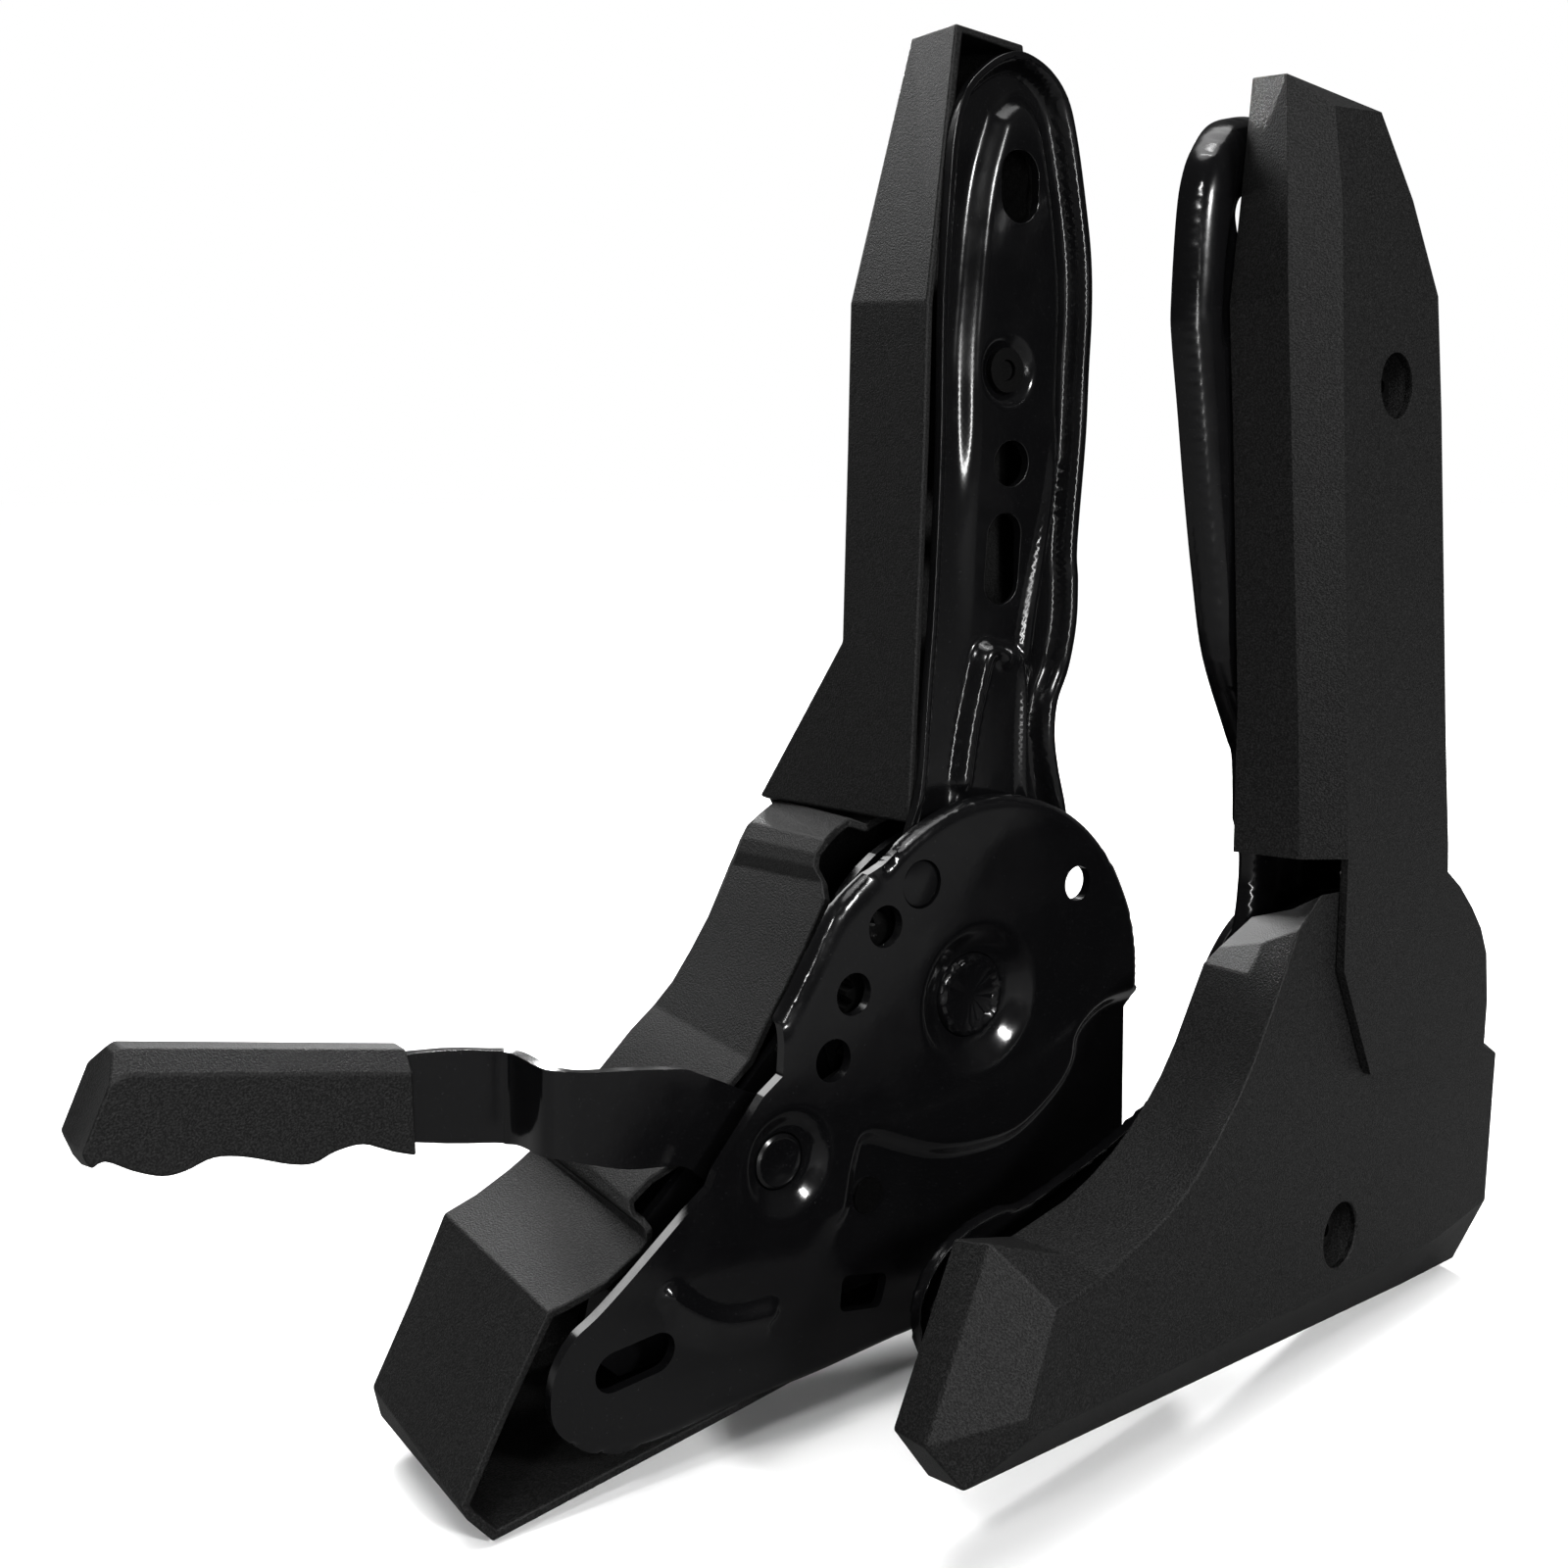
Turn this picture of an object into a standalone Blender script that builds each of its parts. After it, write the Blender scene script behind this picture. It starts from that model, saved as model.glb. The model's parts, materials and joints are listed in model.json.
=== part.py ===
"""A pair of seat recliner hinges: the main unit with its release lever, and the follower unit without one.

Each unit is drawn in its own frame, in millimetres: x to the rear, z up, and d the depth from the inner face
of its base plate outwards to its covers, with the recline axis at x = 0, z = 0. The covers of the two units
point away from each other. +X is the rear of the seat, +Y the main unit's outer side, +Z up.
"""
import math

import bmesh
import bpy
from mathutils import Matrix, Vector

MM = 0.001
GAP = 0.3                     # clearance between touching pieces, mm
SHEET = 3.0                   # thickness of the steel plates, mm
COVER = 2.5                   # wall of the plastic covers, mm

# Where the two units stand (metres, degrees about +Z)
MAIN_PIVOT = (0.0241, 0.0004, 0.1139)
SIDE_PIVOT = (0.1313, -0.0128, 0.0880)
SIDE_YAW = 8.0

# Depths of the layers, mm from the inner face of the inner plate
ARM_LIP, ARM_WEB = 6.0, 12.0
SECTOR = 6.5
SECTOR_THICK = 5.0
OUTER_PLATE = 18.0
SPRING = 22.5
SPRING_WIDE = 5.0

# Radii round the recline axis, mm
DISC_R = 60.5
ARM_DISC_R = 46.0
SECTOR_ROOT_R, SECTOR_TIP_R = 41.8, 44.4
SECTOR_TEETH = 60
SHANK_R, BUSH_R = 8.0, 11.0
HOOK_R = 59.0
NUT_R = 4.2

# The lever and the lock of the main unit, mm
LEVER_AXIS = (-69.0, -33.0)
PAWL_AXIS = (-38.0, -50.0)

COLOURS = {
    "steel": ((0.012, 0.012, 0.013, 1.0), 0.22, 0.9),
    "bare_steel": ((0.30, 0.30, 0.31, 1.0), 0.35, 1.0),
    "plastic": ((0.020, 0.020, 0.021, 1.0), 0.55, 0.0),
}


# ---------------------------------------------------------------- scene, materials and units

def clear_scene():
    for ob in list(bpy.data.objects):
        bpy.data.objects.remove(ob)


def new_collection(name):
    group = bpy.data.collections.new(name)
    bpy.context.scene.collection.children.link(group)
    return group


def new_material(name):
    colour, roughness, metallic = COLOURS[name]
    mat = bpy.data.materials.new(name)
    mat.use_nodes = True
    shader = mat.node_tree.nodes["Principled BSDF"]
    shader.inputs["Base Color"].default_value = colour
    shader.inputs["Roughness"].default_value = roughness
    shader.inputs["Metallic"].default_value = metallic
    return mat


clear_scene()
PARTS = new_collection("seat_recliner_hinges")
CUTTERS = new_collection("cutters")
MATERIALS = {name: new_material(name) for name in COLOURS}


def new_empty(name, parent=None, at=(0.0, 0.0, 0.0), yaw=0.0):
    empty = bpy.data.objects.new(name, None)
    PARTS.objects.link(empty)
    empty.parent = parent
    empty.location = at
    empty.rotation_euler = (0.0, 0.0, math.radians(yaw))
    return empty


class Unit:
    """One hinge unit: its name, the way its covers point, and the empties that its pieces hang from."""

    def __init__(self, name, side, at, yaw=0.0):
        self.name = name
        self.side = side
        self.pivot = new_empty(name + "_recline_axis", None, at, yaw)

    def place(self, x, d, z):
        return Vector((x * MM, self.side * d * MM, z * MM))


# ---------------------------------------------------------------- outlines

def arc(cx, cz, r, start, end, steps):
    """Points on a circle between two angles, in degrees counter-clockwise from +x."""
    turns = [math.radians(start + (end - start) * i / steps) for i in range(steps + 1)]
    return [(cx + r * math.cos(t), cz + r * math.sin(t)) for t in turns]


def circle(cx, cz, r, sides=24):
    return arc(cx, cz, r, 0.0, 360.0, sides)[:-1]


def slot(cx, cz, length, width, tilt=90.0):
    """A slot with round ends; its long way lies at tilt degrees from +x."""
    r = width / 2
    reach = length / 2 - r
    t = math.radians(tilt)
    dx, dz = reach * math.cos(t), reach * math.sin(t)
    return (arc(cx + dx, cz + dz, r, tilt - 90, tilt + 90, 8)
            + arc(cx - dx, cz - dz, r, tilt + 90, tilt + 270, 8))


def rounded(points, r, steps=4):
    """The outline with its corners rounded to radius r."""
    out = []
    count = len(points)
    for i, corner in enumerate(points):
        here = Vector(corner)
        back = Vector(points[i - 1]) - here
        ahead = Vector(points[(i + 1) % count]) - here
        half = back.angle(ahead) / 2
        cut = min(r / math.tan(half), back.length * 0.45, ahead.length * 0.45)
        start, end = here + back.normalized() * cut, here + ahead.normalized() * cut
        for k in range(steps + 1):
            t = k / steps
            out.append(tuple((1 - t) ** 2 * start + 2 * t * (1 - t) * here + t * t * end))
    return out


def inset(path, width):
    """An open path moved sideways by width, to its right as it runs."""
    out = []
    for i, point in enumerate(path):
        before = Vector(path[max(i - 1, 0)])
        after = Vector(path[min(i + 1, len(path) - 1)])
        along = (after - before).normalized()
        out.append((point[0] + along.y * width, point[1] - along.x * width))
    return out


# ---------------------------------------------------------------- solids

def link_mesh(unit, name, mesh, material, group=None):
    ob = bpy.data.objects.new(name, mesh)
    (group or PARTS).objects.link(ob)
    ob.parent = unit.pivot
    if material:
        mesh.materials.clear()
        mesh.materials.append(MATERIALS[material])
    return ob


def cutter(ob):
    ob.hide_render = True
    ob.display_type = "WIRE"
    return ob


def plate(unit, name, outlines, d0, d1, material="steel", group=None):
    """A flat piece: the first outline, less the others, from depth d0 to depth d1."""
    curve = bpy.data.curves.new(name, "CURVE")
    curve.dimensions = "2D"
    curve.fill_mode = "BOTH"
    curve.extrude = (d1 - d0) / 2 * MM
    for outline in outlines:
        spline = curve.splines.new("POLY")
        spline.points.add(len(outline) - 1)
        for point, (x, z) in zip(spline.points, outline):
            point.co = (x * MM, z * MM, 0.0, 1.0)
        spline.use_cyclic_u = True
    guide = bpy.data.objects.new(name + "_outline", curve)
    PARTS.objects.link(guide)
    depsgraph = bpy.context.evaluated_depsgraph_get()
    mesh = bpy.data.meshes.new_from_object(guide.evaluated_get(depsgraph))
    bpy.data.objects.remove(guide)
    middle = unit.side * (d0 + d1) / 2 * MM
    mesh.transform(Matrix(((1, 0, 0, 0), (0, 0, 1, middle), (0, 1, 0, 0), (0, 0, 0, 1))))
    bm = bmesh.new()
    bm.from_mesh(mesh)
    bmesh.ops.remove_doubles(bm, verts=bm.verts, dist=1e-6)
    bmesh.ops.recalc_face_normals(bm, faces=bm.faces)
    bm.to_mesh(mesh)
    bm.free()
    return link_mesh(unit, name, mesh, material, group)


def turned(unit, name, at, profile, material="bare_steel", sides=24, group=None):
    """A turned piece on the axis x, z = at; profile is a list of (radius, depth) with rising depth."""
    mesh = bpy.data.meshes.new(name)
    bm = bmesh.new()
    points = [bm.verts.new((r * MM, 0.0, d * MM)) for r, d in reversed(profile)]
    for first, second in zip(points, points[1:]):
        bm.edges.new((first, second))
    if profile[0][0] > 0.0:
        bm.edges.new((points[-1], points[0]))
    bm.to_mesh(mesh)
    bm.free()
    ob = link_mesh(unit, name, mesh, material, group)
    ob.location = unit.place(at[0], 0.0, at[1])
    ob.rotation_euler = (-unit.side * math.pi / 2, 0.0, 0.0)
    screw = ob.modifiers.new("Turn", "SCREW")
    screw.axis = "Z"
    screw.steps = sides
    screw.render_steps = sides
    screw.use_merge_vertices = True
    screw.merge_threshold = 1e-5
    return ob


def cylinder(unit, name, at, r, d0, d1, sides=24):
    return cutter(turned(unit, name, at, [(0, d0), (r, d0), (r, d1), (0, d1)], None, sides, CUTTERS))


def boolean(ob, other, operation):
    step = ob.modifiers.new(other.name, "BOOLEAN")
    step.operation = operation
    step.object = other
    step.solver = "EXACT"


def loft(unit, name, rows, caps, material, closed=False):
    """An open sheet through rows of (x, d, z) points, plus cap polygons, thickened inwards."""
    mesh = bpy.data.meshes.new(name)
    bm = bmesh.new()
    verts = {}

    def vert(point):
        key = tuple(round(v, 4) for v in point)
        if key not in verts:
            verts[key] = bm.verts.new(unit.place(*point))
        return verts[key]

    for low, high in zip(rows, rows[1:]):
        span = len(low) if closed else len(low) - 1
        for i in range(span):
            j = (i + 1) % len(low)
            bm.faces.new([vert(p) for p in (low[i], low[j], high[j], high[i])])
    for cap in caps:
        bm.faces.new([vert(p) for p in cap])
    bmesh.ops.recalc_face_normals(bm, faces=bm.faces)
    bm.to_mesh(mesh)
    bm.free()
    return link_mesh(unit, name, mesh, material)


def solidify(ob, thickness, offset=-1.0):
    step = ob.modifiers.new("Wall", "SOLIDIFY")
    step.thickness = thickness * MM
    step.offset = offset
    step.use_even_offset = True


def face_out(ob, unit):
    """Turn an open shell's faces so that they point away from its hollow side."""
    mesh = ob.data
    largest = max(mesh.polygons, key=lambda p: p.area * abs(p.normal.y))
    if largest.normal.y * unit.side < 0:
        mesh.flip_normals()


# ---------------------------------------------------------------- steel pieces that both units share

def inner_plate(unit, outline, holes):
    openings = [circle(0, 0, SHANK_R + GAP)] + holes
    return plate(unit, unit.name + "_inner_plate", [outline] + openings, 0.0, SHEET)


def outer_plate(unit, outline, holes):
    openings = [circle(0, 0, SHANK_R + GAP)] + holes
    return plate(unit, unit.name + "_outer_plate", [outline] + openings, OUTER_PLATE, OUTER_PLATE + SHEET)


def arm(unit, front, top, rear, holes):
    """The upper arm: a flat web with a rim turned inwards along its two edges and its top."""
    rim = front + top + rear
    disc_end = math.degrees(math.atan2(rear[-1][1], rear[-1][0]))
    disc_start = math.degrees(math.atan2(front[0][1], front[0][0]))
    foot = arc(0, 0, ARM_DISC_R, disc_end - 4, disc_start - 356, 24)
    web = plate(unit, unit.name + "_arm", [rim + foot, circle(0, 0, BUSH_R + GAP)] + holes,
                ARM_WEB, ARM_WEB + SHEET)
    inner = inset(rim, SHEET)
    flange = plate(unit, unit.name + "_arm_rim", [rim + inner[::-1]], ARM_LIP, ARM_WEB + SHEET / 2,
                   None, CUTTERS)
    boolean(web, cutter(flange), "UNION")
    return web


def pivot_pin(unit):
    end = SPRING + SPRING_WIDE + 1.0
    profile = [(0, -3.0), (9.5, -3.0), (11.5, -2.0), (11.5, -GAP), (SHANK_R, -GAP), (SHANK_R, end), (0, end)]
    turned(unit, unit.name + "_pivot_pin", (0, 0), profile)
    bush = [(SHANK_R + GAP, SECTOR), (BUSH_R, SECTOR), (BUSH_R, OUTER_PLATE - GAP),
            (SHANK_R + GAP, OUTER_PLATE - GAP)]
    turned(unit, unit.name + "_pivot_bush", (0, 0), bush)


def return_spring(unit, hook_angle):
    """A spiral strip round the pivot's tail, its outer leg lying against the arm's hook stud."""
    strip, pitch, turns, start_r = 1.6, 3.6, 3.25, 9.5
    steps_per_turn = 24
    steps = int(turns * steps_per_turn)
    centre = []
    for i in range(steps + 1):
        share = i / steps
        angle = math.radians(hook_angle + 90 + 360 * turns * (1 - share))
        r = start_r + pitch * turns * share
        centre.append((r * math.cos(angle), r * math.sin(angle)))
    out = math.radians(hook_angle)
    side = math.radians(hook_angle + 90)
    near = 4.0 + GAP + strip / 2
    for reach in (38.0, HOOK_R + 4.0):
        centre.append((reach * math.cos(out) + near * math.cos(side),
                       reach * math.sin(out) + near * math.sin(side)))
    left, right = inset(centre, -strip / 2), inset(centre, strip / 2)
    plate(unit, unit.name + "_return_spring", [left + right[::-1]], SPRING, SPRING + SPRING_WIDE, "bare_steel")


def spring_hook(unit, hook_angle):
    t = math.radians(hook_angle)
    at = (HOOK_R * math.cos(t), HOOK_R * math.sin(t))
    low = ARM_WEB + SHEET + GAP
    profile = [(0, low), (6.0, low), (6.0, low + 2), (4.0, low + 2), (4.0, SPRING + SPRING_WIDE + 1),
               (5.0, SPRING + SPRING_WIDE + 1), (5.0, SPRING + SPRING_WIDE + 2.5), (0, SPRING + SPRING_WIDE + 2.5)]
    turned(unit, unit.name + "_spring_hook", at, profile)


def stop_rivet(unit, at):
    profile = [(0, -1.0), (5.0, -1.0), (5.0, SHEET + GAP), (6.8, SHEET + GAP), (6.8, 5.5), (0, 5.5)]
    turned(unit, unit.name + "_stop_rivet", at, profile)


def spacer_rivets(unit, places):
    """Shouldered rivets between the two plates, headed over on the outer plate."""
    outside = OUTER_PLATE + SHEET
    for word, at in zip(("front", "rear"), places):
        profile = [(0, SHEET + GAP), (7.0, SHEET + GAP), (7.0, OUTER_PLATE - GAP), (4.0, OUTER_PLATE - GAP),
                   (4.0, outside + GAP), (6.5, outside + GAP), (6.5, outside + 2), (0, outside + 2)]
        turned(unit, f"{unit.name}_spacer_rivet_{word}", at, profile)


def rivet_nut(unit, at):
    bore = 3.1
    profile = [(bore, ARM_WEB - 2), (6.5, ARM_WEB - 2), (6.5, ARM_WEB - GAP), (NUT_R, ARM_WEB - GAP),
               (NUT_R, ARM_WEB + SHEET + 8), (bore, ARM_WEB + SHEET + 8)]
    turned(unit, unit.name + "_rivet_nut", at, profile)


# ---------------------------------------------------------------- cover screws and their recesses

RECESS_R, RECESS_DEEP = 9.5, 9.0


def recess(unit, cover, name, at, face):
    """A deep round recess in a cover's face with a screw hole in its floor."""
    boss = cylinder(unit, name + "_boss", at, RECESS_R + COVER, face - RECESS_DEEP - COVER, face - COVER / 2)
    boolean(cover, boss, "UNION")
    boolean(cover, cylinder(unit, name + "_recess", at, RECESS_R, face - RECESS_DEEP, face + 1), "DIFFERENCE")
    hole_end = face - RECESS_DEEP - COVER - 1
    boolean(cover, cylinder(unit, name + "_hole", at, 3.3, hole_end, face + 1), "DIFFERENCE")


def cover_screw(unit, name, at, face, end):
    """A pan-head screw seated on the recess's floor; its shank runs down to depth end."""
    seat = face - RECESS_DEEP + GAP
    profile = [(0, end), (2.8, end), (2.8, seat), (6.5, seat), (6.5, seat + 2.5), (4.5, seat + 3.8),
               (2.0, seat + 3.8), (2.0, seat + 1.5), (0, seat + 1.5)]
    turned(unit, name, at, profile)


# ---------------------------------------------------------------- covers

def upper_cover(unit, rows, rim, tongue, tongue_face):
    """A tapering channel with a closed top. Each row is z, then the front rim, crease and face edge and the
    rear face edge, crease and rim as x, then the crease's depth and the face's depth."""
    sections = []
    for z, xs, crease, face in rows:
        depths = (rim, crease, face, face, crease, rim)
        sections.append([(x, d, z) for x, d in zip(xs, depths)])
    top = [(x, d, z + rise) for (x, d, z), rise in zip(sections[-1], (0, 0, -8, -8, 0, 0))]
    sections[-1] = top
    bottom_front, bottom_rear = sections[0][2], sections[0][3]
    caps = [list(reversed(top)), [bottom_front] + [(x, tongue_face, z) for x, z in tongue] + [bottom_rear]]
    cover = loft(unit, unit.name + "_upper_cover", sections, caps, "plastic")
    face_out(cover, unit)
    solidify(cover, COVER)
    return cover


def lower_cover(unit, stations, face, closed):
    """A tray with a bevelled outer face, its walls along the stations; an open one has no wall at the top, where
    the arm swings. Each station is the rim's x, z and depth, the crease's x, z and depth, and the face's x, z."""
    rim = [(x, d, z) for x, z, d, *_ in stations]
    crease = [(cx, cd, cz) for _, _, _, cx, cz, cd, *_ in stations]
    outer = [(fx, face, fz) for *_, fx, fz in stations]
    cover = loft(unit, unit.name + "_lower_cover", [rim, crease, outer], [outer], "plastic", closed)
    face_out(cover, unit)
    solidify(cover, COVER)
    return cover


# ---------------------------------------------------------------- the lock and the lever of the main unit

def gear_sector(unit):
    """A toothed disc sector: teeth along its lower front, plain elsewhere."""
    points = []
    pitch = 360.0 / SECTOR_TEETH
    first, last = 138, 330
    for i in range(int((last - first) / pitch)):
        start = first + i * pitch
        for share, r in ((0.0, SECTOR_ROOT_R), (0.3, SECTOR_TIP_R), (0.55, SECTOR_TIP_R), (0.85, SECTOR_ROOT_R)):
            t = math.radians(start + share * pitch)
            points.append((r * math.cos(t), r * math.sin(t)))
    points += arc(0, 0, 30.0, last, first + 360, 14)
    plate(unit, unit.name + "_gear_sector", [points, circle(0, 0, BUSH_R + GAP)], SECTOR, SECTOR + SECTOR_THICK,
          "bare_steel")


def lock_pawl(unit):
    """A toothed pawl beside the sector; lifting the lever swings it away from the teeth."""
    px, pz = PAWL_AXIS
    near = arc(0, 0, SECTOR_TIP_R + 0.8, 200, 222, 8)
    far = arc(0, 0, 54.5, 224, 200, 8)
    eye = arc(px, pz, 8.5, 140, 395, 16)
    outline = near + [(px + 8.5, pz + 9)] + eye[::-1] + far
    plate(unit, "lock_pawl", [outline, circle(px, pz, 5.3)], SECTOR, SECTOR + SECTOR_THICK, "bare_steel")
    outside = OUTER_PLATE + SHEET
    pin = [(0, SHEET + GAP), (5.0, SHEET + GAP), (5.0, outside + GAP), (7.0, outside + GAP), (7.0, outside + 2),
           (0, outside + 2)]
    turned(unit, "pawl_pin", PAWL_AXIS, pin)


def lever_shaft(unit):
    outside = OUTER_PLATE + SHEET
    profile = [(0, -1.8), (6.0, -1.8), (7.5, -1.0), (7.5, -GAP), (6.0, -GAP), (6.0, outside + 8), (0, outside + 8)]
    turned(unit, "lever_shaft", LEVER_AXIS, profile)
    x, z = LEVER_AXIS
    lobe = arc(x, z, 9.5, 70, 355, 20) + arc(x, z, 13.5, 15, 50, 6)
    plate(unit, "lever_cam", [lobe, circle(x, z, 6.3)], SECTOR, SECTOR + SECTOR_THICK, "bare_steel")


# Stations along the lever: x, upper edge, lower edge, depth of its middle
LEVER_STATIONS = [
    (-57, -27, -39, 13.5), (-60, -21, -45, 13.5), (-66, -18, -47.5, 13.5), (-72, -17.5, -47.5, 13.5),
    (-80, -13, -43, 13.5), (-87, -8.5, -36, 13.5), (-93, -5.5, -31.5, 13.5), (-105, -4, -30, 13.5),
    (-117, -2.5, -28, 13.5), (-126, -0.5, -26.5, 13.5), (-128.5, 0, -26, 15.5), (-132.5, 0.5, -25, 31.5),
    (-135, 1, -24, 33.5), (-157, 5, -18.5, 33.5), (-190, 7, -8, 33.5), (-222, 10, 2, 33.5),
]


def lever_bar(unit):
    """The lever: a flat bar on edge, cranked outboard in front of the cover, its tang inside the grip."""
    rows = [[(x, d, low), (x, d, high)] for x, high, low, d in LEVER_STATIONS]
    bar = loft(unit, "lever_bar", rows, [], "steel")
    solidify(bar, SHEET, 0.0)
    boolean(bar, cylinder(unit, "lever_bar_hole", LEVER_AXIS, 6.3, 5, 22), "DIFFERENCE")


def lever_grip(unit):
    """The finger grip: a bevelled block with three finger scallops, slotted for the lever's tang."""
    top = [(-158, 9), (-229, 22), (-233, 19)]
    front = [(-240, 0), (-238, -5), (-232, -6)]
    scallops = [(-227, -11), (-222, -12), (-216, -10), (-210, -10), (-205, -12), (-200, -14), (-190, -17),
                (-182, -16), (-175, -15), (-168, -18), (-159, -21)]
    middle = 36.0
    half = 9.5
    outline = top + front + scallops
    grip = plate(unit, "lever_grip", [outline], middle - half, middle + half, "plastic")
    bevel = grip.modifiers.new("Edges", "BEVEL")
    bevel.width = 2.0 * MM
    bevel.segments = 2
    bevel.limit_method = "ANGLE"
    bevel.angle_limit = math.radians(60)
    tang = [(-150, 8.5), (-190, 8.5), (-223.5, 11.5), (-223.5, 0.0), (-190, -10), (-156.5, -20), (-150, -20)]
    pocket = plate(unit, "tang_pocket", [tang], 33.5 - 1.5 - GAP, 33.5 + 1.5 + GAP, None, CUTTERS)
    boolean(grip, cutter(pocket), "DIFFERENCE")
    hole = cylinder(unit, "grip_screw_hole", (-172, -3), 3.6, middle - half - 1, 31.5, 16)
    boolean(grip, hole, "DIFFERENCE")
    profile = [(0, middle - half + 0.5), (3.2, middle - half + 0.5), (3.2, 31.5), (0, 31.5)]
    turned(unit, "grip_screw", (-172, -3), profile, sides=16)


def lever_spring(unit):
    """A wire torsion spring round the shaft's tail that turns the lever back down."""
    x, z = LEVER_AXIS
    wire, coil_r, turns = 0.9, 8.0, 3
    start = OUTER_PLATE + SHEET + 1.6
    steps = turns * 16
    points = [(x - coil_r, start, z - 20.0)]
    for i in range(steps + 1):
        angle = math.radians(180 - 90 * i / steps - 360 * turns * i / steps)
        points.append((x + coil_r * math.cos(angle), start + 2.1 * turns * i / steps, z + coil_r * math.sin(angle)))
    points.append((x + 20, start + 2.1 * turns, z + 8.0))
    curve = bpy.data.curves.new("lever_spring", "CURVE")
    curve.dimensions = "3D"
    curve.bevel_depth = wire * MM
    curve.bevel_resolution = 1
    curve.use_fill_caps = True
    spline = curve.splines.new("POLY")
    spline.points.add(len(points) - 1)
    for point, place in zip(spline.points, points):
        point.co = (*unit.place(*place), 1.0)
    ob = bpy.data.objects.new("lever_spring", curve)
    PARTS.objects.link(ob)
    ob.parent = unit.pivot
    curve.materials.append(MATERIALS["bare_steel"])


# ---------------------------------------------------------------- main unit

MAIN_RIM, MAIN_LOWER_FACE = 15.5, 71.0
MAIN_SCREW, MAIN_LOWER_SCREW = (18.0, 180.0), (-20.0, -66.0)
HOOK_ANGLE = 74.0
HOOD_R = 52.2                 # the round top of the lower cover, under the upper cover


def main_unit():
    unit = Unit("main", 1, MAIN_PIVOT)
    disc = arc(6, -3, DISC_R, -4, 132, 26)
    edge = [(-58, 21), (-69, 5), (-64, 1), (-70, -9), (-76, -13), (-84, -22), (-91, -30), (-96, -36), (-124, -57)]
    toe = [(-134, -64), (-137, -73), (-137, -84), (-131, -91), (-124, -95), (-112, -98)]
    end = [(-27, -94), (64, -90), (64, -15)]
    row = [circle(x, z, 6.8) for x, z in ((-35, 26), (-46, 9), (-53, -8), (39, 28))]
    openings = row + [circle(-22, 36, 5.3), circle(*LEVER_AXIS, 6.3), slot(-114.5, -74.2, 23.5, 10.8, 5),
                      rounded([(-48, -70), (-31, -74), (-34, -84), (-49, -80)], 2)]
    inner_plate(unit, disc + edge + toe + end, openings)
    spacers = ((5, -72), (44, -70))
    back = arc(0, 0, 48, 0, 150, 20)
    back += [(-56, -4), (-77, -24), (-86, -33), (-100, -45), (-118, -60), (-122, -75), (-110, -86)]
    back += [(-27, -84), (56, -78), (56, -15)]
    pins = [circle(*LEVER_AXIS, 6.3), circle(*PAWL_AXIS, 5.3), circle(*MAIN_LOWER_SCREW, 3.1)]
    outer_plate(unit, back, pins + [circle(x, z, 4.3) for x, z in spacers])
    front = [(-30, 36), (-24, 50), (-22, 62), (-21, 86), (-19, 115), (-17, 158), (-15, 198), (-10, 228), (-7, 248)]
    top = [(-4, 257), (1, 263), (7, 267), (16, 268.5), (25, 266), (32, 260), (37, 250)]
    rear = [(41, 228), (44, 205), (43.5, 190), (41, 150), (39, 120), (38.5, 104), (35.5, 90), (31, 80), (31.5, 64),
            (36, 48), (40, 38)]
    holes = [slot(22, 233, 21, 14.6), circle(*MAIN_SCREW, NUT_R + GAP), circle(20, 153, 6.7),
             slot(19, 125, 27, 13.4)]
    arm(unit, front, top, rear, holes)
    gear_sector(unit)
    pivot_pin(unit)
    return_spring(unit, HOOK_ANGLE)
    spring_hook(unit, HOOK_ANGLE)
    stop_rivet(unit, (-22, 36))
    spacer_rivets(unit, spacers)
    rivet_nut(unit, MAIN_SCREW)
    main_covers(unit)
    lock_pawl(unit)
    lever_shaft(unit)
    lever_bar(unit)
    lever_grip(unit)
    lever_spring(unit)


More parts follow.
